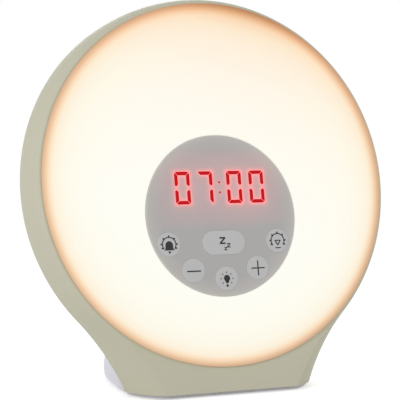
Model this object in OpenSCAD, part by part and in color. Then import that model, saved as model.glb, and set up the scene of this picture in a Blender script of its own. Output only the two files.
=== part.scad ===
// Sunrise alarm clock: a round glowing face on a balloon-shaped housing that leans back.
// +Z is up, the face looks along -Y and leans back, +X is to the right seen from the front.
// The origin is on the ground, below the middle of the clock's width and depth.
// On the face, u runs to the right, v up the face, and a depth is measured back from the rim.

/* [Housing] */
// Depth from the front edge of the foot to its tail
overall_depth = 118; // [104:1:134]
// Height above the ground of the lower edge of the face, measured at the rim
apron_h = 13.6; // [12.6:0.2:22]
// Lean of the face back from upright, in degrees
face_lean = 11.5; // [7:0.5:16]
// Radius of the front rim of the round face
face_r = 90; // [88:0.5:93]
// How far the side swells out beyond the front rim
side_bulge = 4.6; // [3:0.1:5.4]
// Depth of the coloured front housing, from the rim to the parting line
side_depth = 19; // [18.5:0.5:24]
// Half the width of the foot at the front edge
foot_half_front = 33.5; // [32:0.5:38]
// Half the width of the foot at the parting line
foot_half_back = 49; // [46:0.5:52]
// Radius of the hollow curve from the round into the foot, at the front
neck_r_front = 135; // [110:5:200]
// The same radius at the parting line
neck_r_back = 120; // [95:5:150]
// Wall of the moulded housings
wall = 2.2; // [1.8:0.1:2.6]
// Swell of the back behind the parting line
back_dome = 15; // [13:0.5:20]
// Height at which the tail has lost half its length
tail_mid = 30; // [27:0.5:36]
// Softness of the tail's slope
tail_soft = 6; // [5:0.5:8]
// Step of the rear housing inside the line of the front housing
parting_step = 0.6; // [0.4:0.1:1]

/* [Diffuser and display] */
// Gap all round the diffuser
diffuser_gap = 0.3; // [0.2:0.05:0.5]
// Width of the lip of the front housing round the diffuser
lip = 0.5; // [0.4:0.1:1]
// How far the diffuser stands out of the rim
diffuser_rise = 1.5; // [1:0.1:2.5]
// Depth of the diffuser's seat behind the rim
seat_depth = 6; // [5:0.5:8]
// Width of the seat
seat_width = 3.9; // [3:0.1:5]
// Thickness of the seat
seat_t = 2; // [1.5:0.5:3]
// Thickness of the diffuser
diffuser_t = 2.2; // [1.8:0.1:3]
// Radius of the round edge of the diffuser
edge_r = 4.5; // [4:0.1:6]
// Radius of the display panel
panel_r = 39.6; // [39.2:0.1:40.6]
// Drop of the display panel below the middle of the face
panel_drop = 16.4; // [12:0.1:20]
// Thickness of the display panel
panel_t = 2.2; // [1.8:0.1:3]
// Gap round the display panel
panel_gap = 0.3; // [0.2:0.05:0.5]
// Radial wall of the display cup
cup_wall = 2.1; // [1.6:0.1:3]
// Floor of the display cup
cup_floor = 1.7; // [1.4:0.1:2.5]
// Height of the digits
digit_h = 16; // [13:0.2:16.4]
// Width of a digit
digit_w = 7.9; // [7:0.1:9]
// Stroke of a digit
digit_stroke = 1.5; // [1:0.1:1.7]
// Distance between the two digits of a pair
digit_pitch = 12.2; // [11:0.1:13]
// Distance between the middles of the two pairs
pair_pitch = 27.6; // [26:0.2:29]
// Height of the digits' middle above the middle of the display panel
digits_up = 13.6; // [12:0.2:15]
// Distance of the digits' middle to the right of the display panel's middle
digits_right = 0.8; // [0:0.1:1.2]

/* [Keys] */
// Radius of a round key
key_r = 5.7; // [5:0.1:6]
// Length of the straight sides of the snooze key
snooze_straight = 10.8; // [7:0.2:12]
// Gap round a key
key_gap = 0.3; // [0.25:0.05:0.4]
// Travel of a key
key_travel = 0.8; // [0.5:0.1:1]
// How far a key stands out of the display panel
key_proud = 0.3; // [0.1:0.1:0.6]
// Radius of the round edges of the keys and the display panel
soft_edge = 0.4; // [0.2:0.1:0.6]
// Distance of the outer keys from the middle line
outer_key_u = 28.8; // [28:0.1:29]
// Drop of the outer keys and the snooze key below the middle of the panel
upper_key_drop = 13.5; // [13:0.1:13.8]
// Distance of the minus and plus keys from the middle line
lower_key_u = 17; // [16.5:0.1:17.6]
// Drop of the minus and plus keys below the middle of the panel
lower_key_drop = 26.6; // [26:0.1:27]
// Drop of the light key below the middle of the panel
light_key_drop = 31; // [30.5:0.1:31.6]

/* [Light] */
// Distance of the outer ring of light emitters inside the diffuser's seat
led_inset = 12.6; // [9:0.2:18]
// Number of emitters in the outer ring
led_count = 24; // [16:1:32]
// Thickness of the circuit boards
board_t = 1.6; // [1:0.2:2]

/* [Speaker and back] */
// Radius of the speaker grille
grille_r = 23; // [21:0.5:25]
// Height of the grille's middle above the middle of the face
grille_up = 14; // [8:1:20]
// Radius of a grille hole
grille_hole_r = 1; // [0.7:0.1:1.2]
// Distance between the rings of grille holes
grille_pitch = 4; // [3.6:0.1:5]
// Radius of the speaker's rim
speaker_r = 20; // [17:0.5:20.5]
// Radius of the speaker's magnet
magnet_r = 9.6; // [8:0.2:11]
// Distance of the rear screws inside the front rim, to the side
rear_screw_in = 32; // [28:1:36]
// Distance of the upper rear screws below the top of the front rim
upper_screw_in = 46; // [42:1:52]
// Distance of the lower rear screws above the bottom of the front rim
lower_screw_in = 64; // [60:1:68]
// Radius of the power inlet's bore
inlet_r = 3.1; // [2.8:0.1:3.4]
// Length of the power inlet's bore
inlet_length = 9.5; // [8:0.5:11]
// Height of the power inlet above the ground
inlet_z = 13; // [12:0.5:16]

/* [Base] */
// Thickness of the base plate
plate_t = 1.6; // [1.4:0.1:2.4]
// Inset of the base plate from the housings
plate_inset = 2; // [1:0.5:3]
// Radius of a rubber foot
foot_r = 5; // [4:0.5:6]
// Height of the base plate above the ground
foot_gap = 0.6; // [0.4:0.1:1.2]
// Radius of the battery cover
cover_r = 13; // [12.5:0.5:15]
// Radius of the coin cell
cell_r = 10; // [8:0.5:10]
// Thickness of the coin cell
cell_t = 3.2; // [2:0.1:3.4]
// Radius of a screw's shank
screw_r = 1.25; // [1:0.05:1.5]
// Radius of a screw's head
screw_head_r = 2.6; // [2.3:0.1:3]
// Length of the screws in the base
base_screw_length = 9; // [7:0.5:11]
// Length of the screws in the chassis
chassis_screw_length = 7; // [5:0.5:7]
// Length of the screws in the rear housing and the main board
short_screw_length = 5; // [4:0.5:5]

/* [Hidden] */

// Smoothness of the exact round parts
$fn = 96;
// Steps along the hollow neck curve, round the rim and along the ground line
neck_steps = 7;
rim_steps = 30;
ground_steps = 8;
// Columns across each half of the back
back_columns = 13;
// Overcut, so that no two cut faces coincide
cut = 0.5;
// Clearance of parts that lie beside each other
clear = 0.3;
// Clearance round a screw's shank
shank_clear = 0.15;
// How far a boss reaches into the wall that carries it
rooted = 1;

// Heights of the base and the face
housing_z = foot_gap + plate_t;
face_height = apron_h + face_r * cos(face_lean);
front_y = -overall_depth / 2;
// The middle of the face stands back from the front edge because the face leans
face_y = front_y + (face_height - housing_z) * tan(face_lean);

// Depths behind the rim, from the front to the back
face_front = -diffuser_rise;
panel_back = face_front + panel_t;
diffuser_back = face_front + diffuser_t;
cup_front = max(panel_back, diffuser_back);
ledge_back = seat_depth + seat_t;
key_flange_t = 1;
key_stem = 2.4;
stem_end = cup_front + clear + key_flange_t + key_stem;
plunger_h = 1.3;
plunger_front = stem_end + key_travel + clear;
switch_h = 2.6;
key_board_front = plunger_front + plunger_h + switch_h;
board_front = key_board_front + board_t + cup_floor;
chassis_front = board_front + board_t;
chassis_t = 2;
chassis_back = chassis_front + chassis_t;
boss_h = 4;
boss_back = chassis_back + boss_h;

// Radii of the face; the display panel laps over the cup's wall
panel_lap = 0.6;
opening_r = face_r - lip;
diffuser_r = opening_r - diffuser_gap;
seat_r = opening_r - seat_width;
cup_in_r = panel_r - panel_lap;
cup_r = cup_in_r + cup_wall;
// The chassis lies within the front housing's inner skin, and the light board between its bosses
chassis_r = round_r(chassis_front) - wall - 2 * clear;
chassis_boss_r = 3;
chassis_screw_at = chassis_r - chassis_boss_r;
chassis_screw_count = 6;
light_r = min(seat_r, chassis_screw_at - chassis_boss_r) - clear;
led_ring_r = seat_r - led_inset;
panel_v = -panel_drop;

// Display
key_board_r = cup_in_r - clear;
module_edge = 2.5;
module_w = digit_pitch + pair_pitch + digit_w + 2 * module_edge;
module_h = digit_h + 2 * module_edge;
module_front = cup_front + clear;
segment_t = 0.8;
digits_v = panel_v + digits_up;

// Keys: name by place, as [u, v] on the face
alarm_at = [-outer_key_u, panel_v - upper_key_drop];
snooze_at = [0, panel_v - upper_key_drop];
sunset_at = [outer_key_u, panel_v - upper_key_drop];
minus_at = [-lower_key_u, panel_v - lower_key_drop];
plus_at = [lower_key_u, panel_v - lower_key_drop];
light_at = [0, panel_v - light_key_drop];
KEYS = [alarm_at, snooze_at, sunset_at, minus_at, plus_at, light_at];
key_flange = 0.35;
key_stem_r = 1.6;
switch_w = 6;
plunger_r = 1.5;

// Screws, with the wells that lead to the rear ones and the pillars round the wells
rear_screw_u = face_r - rear_screw_in;
rear_screw_v = [face_r - upper_screw_in, lower_screw_in - face_r];
well_clear = 0.7;
pillar_wall = 1.3;
well_bottom = 2;
well_r = screw_head_r + well_clear;
pillar_r = well_r + pillar_wall;
head_t = 1.8;

// Speaker and grille, along the depth
grille_t = 2;
grille_sunk = 0.8;
grille_ledge = 1.5;
grille_mouth_in = 1;
grille_border = 4;
speaker_depth = 12;
basket_depth = 8;
basket_t = 1;

// The side of the housing swells from the rim like a quarter ellipse
function swell(d) = let (x = 1 - min(1, d / side_depth)) sqrt(1 - x * x);
function round_r(d) = face_r + side_bulge * swell(d);
// The foot widens more slowly than the round, so that its front corner is soft
foot_power = 1.5;
function foot_swell(d) = let (x = 1 - min(1, d / side_depth)) pow(1 - pow(x, foot_power), 1 / foot_power);
function foot_half(d) = foot_half_front + (foot_half_back - foot_half_front) * foot_swell(d);
function neck_r(d) = neck_r_front + (neck_r_back - neck_r_front) * swell(d);
// Position up the face, at depth d, of the height z above the ground
function v_at(d, z) = (z - face_height + d * sin(face_lean)) / cos(face_lean);

// Direction, from straight down, in which the neck curve leaves the round at depth d
function neck_angle(d) =
    let (r = round_r(d), n = neck_r(d), p = [foot_half(d), v_at(d, housing_z)])
    let (k = ((r + n) * (r + n) + p * p - n * n) / (2 * (r + n)))
    atan2(p[0], -p[1]) + acos(k / norm(p));

// Right half of the outline at depth d, from the height z up to the top of the round.
// The outline is drawn in by the inset.
function half_outline(d, inset, z) =
    let (r = round_r(d), n = neck_r(d), a = neck_angle(d))
    let (c = (r + n) * [sin(a), -cos(a)], m = n + inset)
    let (low = asin((v_at(d, z) - c[1]) / m), high = 90 - a)
    concat(
        [for (i = [0:neck_steps - 1])
            let (t = low + (high - low) * i / neck_steps) c + m * [-cos(t), sin(t)]],
        [for (i = [0:rim_steps])
            let (t = a + (180 - a) * i / rim_steps) (r - inset) * [sin(t), -cos(t)]]
    );

// Closed outline: up the right side, down the left side and back along the ground
function outline(d, inset, z) =
    let (h = half_outline(d, inset, z), n = len(h))
    concat(
        h,
        [for (i = [n - 2:-1:0]) [-h[i][0], h[i][1]]],
        [for (i = [1:ground_steps - 1]) [h[0][0] * (2 * i / ground_steps - 1), h[0][1]]]
    );

// A ring of points on the face's axes, at depth d
function at_depth(points, d) = [for (p = points) [p[0], p[1], -d]];
// A circle whose points lie in the directions of the outline's points
function round_ring(r, d) =
    [for (p = outline(d, 0, housing_z)) [r * p[0] / norm(p), r * p[1] / norm(p), -d]];
function joined(rings) = [for (ring = rings) each ring];

// Closed band of rings, the last ring joined to the first
module ring_band(rings) {
    n = len(rings[0]);
    k = len(rings);
    faces = [for (j = [0:k - 1], i = [0:n - 1])
        let (a = j * n + i, b = j * n + (i + 1) % n)
        let (e = (j + 1) % k * n + i, f = (j + 1) % k * n + (i + 1) % n)
        each [[a, e, f], [a, f, b]]];
    polyhedron(joined(rings), faces, convexity = 6);
}

// Places children on the face's own axes, with +Z out of the face
module on_face() {
    translate([0, face_y, face_height]) rotate([90 - face_lean, 0, 0]) children();
}

// A cylinder along the face's axis, between two depths
module bar(r, from, to, at = [0, 0]) {
    translate([at[0], at[1], -to]) cylinder(r = r, h = to - from);
}

// A block along the face's axis, between two depths
module block(w, h, from, to, at = [0, 0]) {
    translate([at[0] - w / 2, at[1] - h / 2, -to]) cube([w, h, to - from]);
}

// A profile of radius and depth, turned about the face's axis
module turned(profile, at = [0, 0]) {
    translate([at[0], at[1], 0]) rotate_extrude() polygon([for (p = profile) [p[0], -p[1]]]);
}

// ---- Housings ----

outer_depths = [1, 0.86, 0.72, 0.58, 0.45, 0.33, 0.22, 0.13, 0.06, 0.02, 0];
inner_depths = [0, 0.3, 0.65, 1];

module front_housing() {
    rings = concat(
        [for (s = outer_depths) at_depth(outline(s * side_depth, 0, housing_z), s * side_depth)],
        [round_ring(opening_r, 0), round_ring(opening_r, seat_depth),
         round_ring(seat_r, seat_depth), round_ring(seat_r, ledge_back)],
        [for (s = inner_depths)
            let (d = ledge_back + s * (side_depth - ledge_back))
            at_depth(outline(d, wall, housing_z + wall), d)]
    );
    color([0.76, 0.75, 0.67]) difference() {
        union() {
            on_face() ring_band(rings);
            on_face() for (p = chassis_screw_places) bar(chassis_boss_r, ledge_back - rooted, chassis_front, p);
            for (x = [-1, 1]) translate([x * front_screw_x, front_screw_y, housing_z + wall - cut])
                cylinder(r = base_boss_r, h = base_boss_top - housing_z - wall + cut);
        }
        on_face() for (p = chassis_screw_places)
            bar(screw_r + shank_clear, chassis_back - chassis_screw_length - clear, chassis_front + cut, p);
        for (x = [-1, 1]) base_pilot([x * front_screw_x, front_screw_y]);
    }
}

chassis_screw_places = [for (i = [0:chassis_screw_count - 1])
    let (a = (i + 0.5) * 360 / chassis_screw_count) chassis_screw_at * [sin(a), cos(a)]];

// Back of the parting plane, and how far the back reaches behind it
function parting_y(z) = face_y + v_at(side_depth, z) * sin(face_lean) + side_depth * cos(face_lean);
function tail_fall(z) = 1 / (1 + exp((z - tail_mid) / tail_soft));
tail_length = (overall_depth / 2 - parting_y(housing_z) - back_dome) / tail_fall(housing_z);
// The tail is an oval at the ground, where the power is that of a circle, and a softer bell higher up
oval_power = 0.5;
bell_power = 2.7;
bell_z = 40;
function tail_power(z) =
    oval_power + (bell_power - oval_power) * pow(min(1, max(0, z - housing_z) / bell_z), foot_power);
function back_reach(u, b, v, z, inset) =
    let (r = round_r(side_depth) - parting_step - inset)
    let (cap = v > 0 ? sqrt(max(0, 1 - v * v / (r * r))) : 1)
    let (t = b > 0 ? min(1, abs(u) / b) : 1)
    (back_dome - inset) * cap * sqrt(1 - t * t)
        + tail_length * tail_fall(z) * pow(1 - t * t, tail_power(z));

// The back's outer skin on the middle line, at a height above the ground
function back_y(z) = parting_y(z) + back_dome + tail_length * tail_fall(z);

// One side of the back: rows from the ground to the top, columns from left to right
function back_row(p, inset) =
    let (z = face_height + p[1] * cos(face_lean) - side_depth * sin(face_lean))
    [for (j = [-back_columns:back_columns])
        let (u = p[0] * sin(90 * j / back_columns))
        [u, parting_y(z) + back_reach(u, p[0], p[1], z, inset), z]];

function back_points(inset) =
    let (h = half_outline(side_depth, parting_step + inset, housing_z), n = len(h))
    let (rows = [for (i = [0:n - 2]) back_row(h[i], inset)], top = back_row(h[n - 1], inset)[0])
    concat(joined(rows), [top]);

module back_shell() {
    columns = 2 * back_columns;
    rows = neck_steps + rim_steps;
    count = rows * (columns + 1) + 1;
    top = count - 1;
    skin = [for (i = [0:rows - 2], j = [0:columns - 1])
        let (a = i * (columns + 1) + j, b = a + columns + 1)
        each [[a, a + 1, b + 1], [a, b + 1, b]]];
    cap = [for (j = [0:columns - 1])
        let (a = (rows - 1) * (columns + 1) + j) [a, a + 1, top]];
    outside = concat(skin, cap);
    inside = [for (f = outside) [f[2] + count, f[1] + count, f[0] + count]];
    edge = concat(
        [for (j = [0:columns]) j],
        [for (i = [1:rows - 1]) i * (columns + 1) + columns],
        [top],
        [for (i = [rows - 1:-1:1]) i * (columns + 1)]
    );
    rim = [for (i = [0:len(edge) - 1])
        let (p = edge[i], q = edge[(i + 1) % len(edge)])
        each [[q, p, p + count], [q, p + count, q + count]]];
    polyhedron(concat(back_points(0), back_points(wall)), concat(outside, inside, rim), convexity = 6);
}

rear_screw_places = [for (u = [-1, 1], v = rear_screw_v) [u * rear_screw_u, v]];
// Depth of the back's outer skin behind the rim, away from the tail
function skin_depth(p) =
    let (r = round_r(side_depth) - parting_step)
    side_depth + back_dome * sqrt(1 - p * p / (r * r)) * cos(face_lean);
well_floor = boss_back + well_bottom;
grille_at = [0, grille_up];
grille_seat = skin_depth(grille_at) - grille_t - grille_sunk;

module rear_housing() {
    color([0.84, 0.83, 0.86]) difference() {
        union() {
            back_shell();
            on_face() for (p = rear_screw_places) bar(pillar_r, boss_back, skin_depth(p) - wall / 2, p);
            on_face() difference() {
                bar(grille_r + wall, grille_seat - grille_ledge, skin_depth(grille_at) - rooted, grille_at);
                bar(speaker_r - grille_mouth_in, grille_seat - grille_ledge - cut, skin_depth(grille_at), grille_at);
            }
            for (x = [-1, 1]) translate([x * rear_base_x, rear_base_y, housing_z])
                cylinder(r = base_boss_r, h = base_boss_top - housing_z);
        }
        on_face() for (p = rear_screw_places) {
            bar(well_r, well_floor, side_depth + back_dome + wall, p);
            bar(screw_r + shank_clear, boss_back - cut, well_floor + cut, p);
        }
        on_face() bar(grille_r, grille_seat, side_depth + back_dome + wall, grille_at);
        for (x = [-1, 1]) base_pilot([x * rear_base_x, rear_base_y]);
        along_y(inlet_barrel_r + clear, inlet_mouth_y - inlet_length, overall_depth / 2 + cut);
    }
}

// Base screws, two in the front housing's floor and two beside the rear housing's walls
base_boss_r = 3.4;
boss_roof = 1;
front_screw_x = 12;
front_screw_in = 12;
rear_screw_back = 7;
head_sunk = 0.1;
base_head_t = 0.9;
front_screw_y = front_y + front_screw_in;
base_screw_z = foot_gap + head_sunk;
base_boss_top = base_screw_z + base_screw_length + clear + boss_roof;
module base_pilot(p) {
    translate([p[0], p[1], housing_z - cut])
        cylinder(r = screw_r + shank_clear, h = base_boss_top - boss_roof - housing_z + cut);
}
rear_base_x = foot_half_back - parting_step - wall - base_boss_r + rooted;
rear_base_y = parting_y(housing_z) + rear_screw_back;
base_screw_places = [for (x = [-1, 1]) each
    [[x * front_screw_x, front_screw_y], [x * rear_base_x, rear_base_y]]];

// Rubber feet, two near the front corners and two under the tail
front_foot_side_in = 8;
front_foot_in = 14;
rear_foot_x = 18;
rear_foot_in = 19;
foot_seat = 0.6;
feet_places = [for (x = [-1, 1]) each [
    [x * (foot_half_front - front_foot_side_in), front_y + front_foot_in],
    [x * rear_foot_x, overall_depth / 2 - rear_foot_in]
]];

// Line of the housings on the base plate, going round from the front right corner
function footprint() =
    let (row = back_row(half_outline(side_depth, parting_step, housing_z)[0], 0), n = len(row), m = len(outer_depths))
    concat(
        [for (i = [m - 1:-1:0]) let (d = outer_depths[i] * side_depth)
            [foot_half(d), front_y + d / cos(face_lean)]],
        [for (j = [n - 2:-1:1]) [row[j][0], row[j][1]]],
        [for (i = [0:m - 1]) let (d = outer_depths[i] * side_depth)
            [-foot_half(d), front_y + d / cos(face_lean)]]
    );
// Closed line, going round to the left, drawn in by a distance
function drawn_in(line, by) =
    let (n = len(line))
    [for (i = [0:n - 1])
        let (t = line[(i + 1) % n] - line[(i + n - 1) % n])
        line[i] + by * [-t[1], t[0]] / norm(t)];

// ---- Base ----

// The battery cover turns on two lugs, which go in through notches and turn away from them
cover_y = 6;
cover_sunk = 0.2;
cover_t = plate_t - cover_sunk;
lug_out = 1.6;
lug_root = 1.4;
lug_angle = 26;
notch_angle = 32;
lug_turn = 60;
coin_slot = [15.6, 1.8, 0.9];
lug_r = cover_r + lug_out;
cover_boss_r = cover_r - lug_root;
lug_z = housing_z + clear;
lug_t = 1.1;
cell_z = lug_z + lug_t + clear;
contact_t = 0.5;
holder_wall = 1.5;

// Two opposite wedges of a ring, for the cover's lugs and their notches
module lugs(r, width, z, h) {
    for (side = [0, 180]) rotate([0, 0, side]) translate([0, 0, z])
        rotate([0, 0, -width / 2]) rotate_extrude(angle = width)
            translate([cover_boss_r - rooted, 0]) square([r - cover_boss_r + rooted, h]);
}

module base_plate() {
    color([0.72, 0.71, 0.73]) difference() {
        union() {
            translate([0, 0, foot_gap]) linear_extrude(plate_t) polygon(drawn_in(footprint(), plate_inset));
            translate([-inlet_body[0] / 2 - stand_lap, inlet_back_y - inlet_body[1] + cut, foot_gap])
                cube([inlet_body[0] + 2 * stand_lap, inlet_body[1], inlet_z - inlet_body[2] / 2 - foot_gap]);
        }
        translate([0, cover_y, 0]) {
            cylinder(r = cover_r + clear, h = housing_z + cut);
            rotate([0, 0, lug_turn]) lugs(lug_r + clear, notch_angle, 0, housing_z + cut);
        }
        for (p = base_screw_places) translate([p[0], p[1], 0]) {
            cylinder(r = screw_r + shank_clear, h = housing_z + cut);
            cylinder(r = screw_head_r + clear, h = base_screw_z + base_head_t + shank_clear);
        }
        for (p = feet_places) translate([p[0], p[1], 0])
            cylinder(r = foot_r + shank_clear, h = foot_gap + foot_seat);
    }
}

module rubber_feet() {
    top = foot_gap + foot_seat;
    bevel = foot_gap / 2;
    color([0.25, 0.25, 0.26]) for (p = feet_places) translate([p[0], p[1], 0]) rotate_extrude()
        polygon([[0, 0], [foot_r - bevel, 0], [foot_r, bevel], [foot_r, top], [0, top]]);
}

module base_screws() {
    color([0.6, 0.6, 0.62]) for (p = base_screw_places) translate([p[0], p[1], base_screw_z]) {
        cylinder(r = screw_head_r, h = base_head_t);
        cylinder(r = screw_r, h = base_screw_length);
    }
}

module battery_cover() {
    color([0.78, 0.77, 0.8]) translate([0, cover_y, 0]) difference() {
        union() {
            translate([0, 0, foot_gap]) cylinder(r = cover_r, h = cover_t);
            translate([0, 0, foot_gap]) cylinder(r = cover_boss_r, h = lug_z + lug_t - foot_gap);
            lugs(lug_r, lug_angle, lug_z, lug_t);
        }
        translate([-coin_slot[0] / 2, -coin_slot[1] / 2, 0])
            cube([coin_slot[0], coin_slot[1], foot_gap + coin_slot[2]]);
    }
}

module coin_cell() {
    step_in = 1.2;
    step_h = 0.64;
    color([0.75, 0.76, 0.78]) translate([0, cover_y, cell_z]) {
        cylinder(r = cell_r, h = cell_t - step_h);
        cylinder(r = cell_r - step_in, h = cell_t);
    }
}

module cell_contact() {
    edge_in = 2;
    slot = [0.8, 10, contact_t + 2 * cut];
    slot_x = 3.5;
    color([0.8, 0.7, 0.45]) translate([0, cover_y, cell_z + cell_t]) difference() {
        cylinder(r = cell_r - edge_in, h = contact_t);
        for (x = [-slot_x, slot_x]) translate([x - slot[0] / 2, -slot[1] / 2, -cut]) cube(slot);
    }
}

module cell_holder() {
    seat_in = cell_r + clear;
    bore = lug_r + 2 * clear;
    top = cell_z + cell_t + contact_t;
    color([0.3, 0.3, 0.32]) translate([0, cover_y, 0]) rotate_extrude() polygon([
        [seat_in, cell_z + clear], [bore, cell_z + clear], [bore, housing_z],
        [bore + holder_wall, housing_z], [bore + holder_wall, top + holder_wall],
        [0, top + holder_wall], [0, top], [seat_in, top]
    ]);
}

// Power inlet at the back of the tail, along +Y
inlet_wall = 1.5;
inlet_sunk = 0.5;
inlet_body = [11, 6, 11];
stand_lap = 1;
inlet_barrel_r = inlet_r + inlet_wall;
inlet_mouth_y = back_y(inlet_z + inlet_barrel_r) - inlet_sunk;
inlet_back_y = inlet_mouth_y - inlet_length - inlet_wall;

module along_y(r, from, to) {
    translate([0, from, inlet_z]) rotate([-90, 0, 0]) cylinder(r = r, h = to - from);
}

module power_inlet() {
    color([0.15, 0.15, 0.16]) difference() {
        union() {
            along_y(inlet_barrel_r, inlet_back_y, inlet_mouth_y);
            translate([-inlet_body[0] / 2, inlet_back_y - inlet_body[1] + cut, inlet_z - inlet_body[2] / 2])
                cube(inlet_body);
        }
        along_y(inlet_r, inlet_mouth_y - inlet_length, inlet_mouth_y + cut);
    }
}

// ---- Face ----

module diffuser() {
    rounded = [for (a = [0:7.5:90])
        [diffuser_r - edge_r + edge_r * sin(a), face_front + edge_r * (1 - cos(a))]];
    inside_r = edge_r - diffuser_t;
    inner = [for (a = [90:-15:0])
        [diffuser_r - edge_r + inside_r * sin(a), face_front + edge_r - inside_r * cos(a)]];
    color([1, 0.97, 0.9]) on_face() difference() {
        turned(concat([[0, face_front]], rounded,
            [[diffuser_r, seat_depth], [diffuser_r - diffuser_t, seat_depth]], inner, [[0, diffuser_back]]));
        bar(panel_r + panel_gap, face_front - cut, diffuser_back + cut, [0, panel_v]);
    }
}

// Outline of a key, round or long, between two depths
module key_form(i, r, from, to) {
    long = i == 1 ? snooze_straight / 2 : 0;
    at = KEYS[i];
    bar(r, from, to, [at[0] - long, at[1]]);
    if (long > 0) {
        bar(r, from, to, [at[0] + long, at[1]]);
        block(2 * long, 2 * r, from, to, at);
    }
}

// Half section of a disc with a round front edge, as radius and height
function soft_disc(r, from, to) = concat(
    [[0, -to], [r, -to]],
    [for (a = [0:18:90]) [r - soft_edge * (1 - cos(a)), -from - soft_edge * (1 - sin(a))]],
    [[0, -from]]
);

module display_panel() {
    color([0.68, 0.68, 0.69]) on_face() difference() {
        translate([0, panel_v, 0]) rotate_extrude() polygon(soft_disc(panel_r, face_front, panel_back));
        for (i = [0:5]) key_form(i, key_r + key_gap, face_front - cut, panel_back + cut);
    }
}

// The cap of a key, with a round edge all the way round
module key_cap(i, from, to) {
    long = i == 1 ? snooze_straight / 2 : 0;
    at = KEYS[i];
    half = soft_disc(key_r, from, to);
    n = len(half);
    for (side = long > 0 ? [-1, 1] : [0]) translate([at[0] + side * long, at[1], 0])
        rotate_extrude() polygon(half);
    if (long > 0) translate([at[0] - long, at[1], 0]) rotate([90, 0, 90]) linear_extrude(2 * long)
        polygon(concat([for (j = [1:n - 1]) half[j]], [for (j = [n - 2:-1:1]) [-half[j][0], half[j][1]]]));
}

module face_key(i) {
    flange_front = panel_back + clear / 2;
    flange_back = flange_front + key_flange_t;
    color([0.74, 0.74, 0.75]) on_face() {
        key_cap(i, face_front - key_proud, flange_back);
        key_form(i, key_r + key_gap + key_flange, flange_front, flange_back);
        bar(key_stem_r, flange_back - cut, stem_end, KEYS[i]);
    }
}
module alarm_key() { face_key(0); }
module snooze_key() { face_key(1); }
module sunset_key() { face_key(2); }
module minus_key() { face_key(3); }
module plus_key() { face_key(4); }
module light_key() { face_key(5); }

cable_drop = 22;
cable_w = 12;
cable_t = 0.4;
cable_slot_size = [14, 3];
cable_at = [0, panel_v - cable_drop];
module cable_slot(from, to) { block(cable_slot_size[0], cable_slot_size[1], from, to, cable_at); }

module display_cup() {
    floor_front = board_front - cup_floor;
    color([0.9, 0.9, 0.9]) on_face() difference() {
        turned([[0, floor_front], [cup_in_r, floor_front], [cup_in_r, cup_front],
            [cup_r, cup_front], [cup_r, board_front], [0, board_front]], [0, panel_v]);
        cable_slot(floor_front - cut, board_front + cut);
    }
}

// Middle of each digit from the left, and the seven strokes of a digit
stroke_gap = 0.3;
colon_half = 2.4;
digit_u = [for (pair = [-1, 1], d = [-1, 1]) digits_right + pair * pair_pitch / 2 + d * digit_pitch / 2];
module stroke(length, upright) {
    s = digit_stroke / 2;
    l = (length - stroke_gap) / 2;
    rotate([0, 0, upright ? 90 : 0])
        polygon([[-l, 0], [s - l, s], [l - s, s], [l, 0], [l - s, -s], [s - l, -s]]);
}
module digit() {
    w = digit_w - digit_stroke;
    h = digit_h - digit_stroke;
    for (level = [-1:1]) translate([0, level * h / 2]) stroke(w, false);
    for (side = [-1, 1], level = [-1, 1]) translate([side * w / 2, level * h / 4]) stroke(h / 2, true);
}
module digit_strokes() {
    for (u = digit_u) translate([u, digits_v]) digit();
    for (v = [-colon_half, colon_half]) translate([digits_right, digits_v + v])
        circle(r = digit_stroke / 2, $fn = 24);
}

module display_module() {
    color([0.12, 0.12, 0.13]) on_face() difference() {
        block(module_w, module_h, module_front, key_board_front, [digits_right, digits_v]);
        translate([0, 0, -module_front - segment_t]) linear_extrude(segment_t + cut) digit_strokes();
    }
}

module digit_segments() {
    color([0.9, 0.1, 0.1]) on_face() translate([0, 0, -module_front - segment_t])
        linear_extrude(segment_t) digit_strokes();
}

module key_board() {
    color([0.1, 0.35, 0.2]) on_face()
        bar(key_board_r, key_board_front, key_board_front + board_t, [0, panel_v]);
}

module key_switches() {
    color([0.2, 0.2, 0.2]) on_face() for (at = KEYS) {
        block(switch_w, switch_w, plunger_front + plunger_h, key_board_front, at);
        bar(plunger_r, plunger_front, plunger_front + plunger_h + cut / 2, at);
    }
}

reflector_t = 1.2;
module reflector() {
    out_r = light_r - reflector_t;
    color([0.95, 0.95, 0.95]) on_face() turned([
        [out_r - reflector_t, ledge_back], [out_r, ledge_back],
        [out_r, board_front], [out_r - 2 * reflector_t, board_front]
    ]);
}

module led_board() {
    color([0.9, 0.9, 0.88]) on_face() difference() {
        bar(light_r, board_front, chassis_front);
        cable_slot(board_front - cut, chassis_front + cut);
    }
}

emitter = [2.8, 3.5, 0.8];
inner_row = 20;
inner_each_side = 3;
module emitter_at(i, r) {
    rotate([0, 0, i * 360 / led_count]) block(emitter[0], emitter[1], board_front - emitter[2], board_front, [0, r]);
}
module led_emitters() {
    color([1, 0.85, 0.5]) on_face() {
        for (i = [0:led_count - 1]) emitter_at(i, led_ring_r);
        for (i = [-inner_each_side:inner_each_side]) emitter_at(i, led_ring_r - inner_row);
    }
}

// The main board, its lower edge at a distance above the bottom of the front rim
main_size = [64, 34];
main_low = 11;
magnet_clear = 1;
main_v = main_low + main_size[1] / 2 - face_r;
main_boss_inset = 4;
main_boss_r = 3.5;
main_boss_u = main_size[0] / 2 - main_boss_inset;
main_boss_v = main_size[1] / 2 - main_boss_inset;
main_boss_at = [for (x = [-1, 1], y = [-1, 1]) [x * main_boss_u, main_v + y * main_boss_v]];

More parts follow.
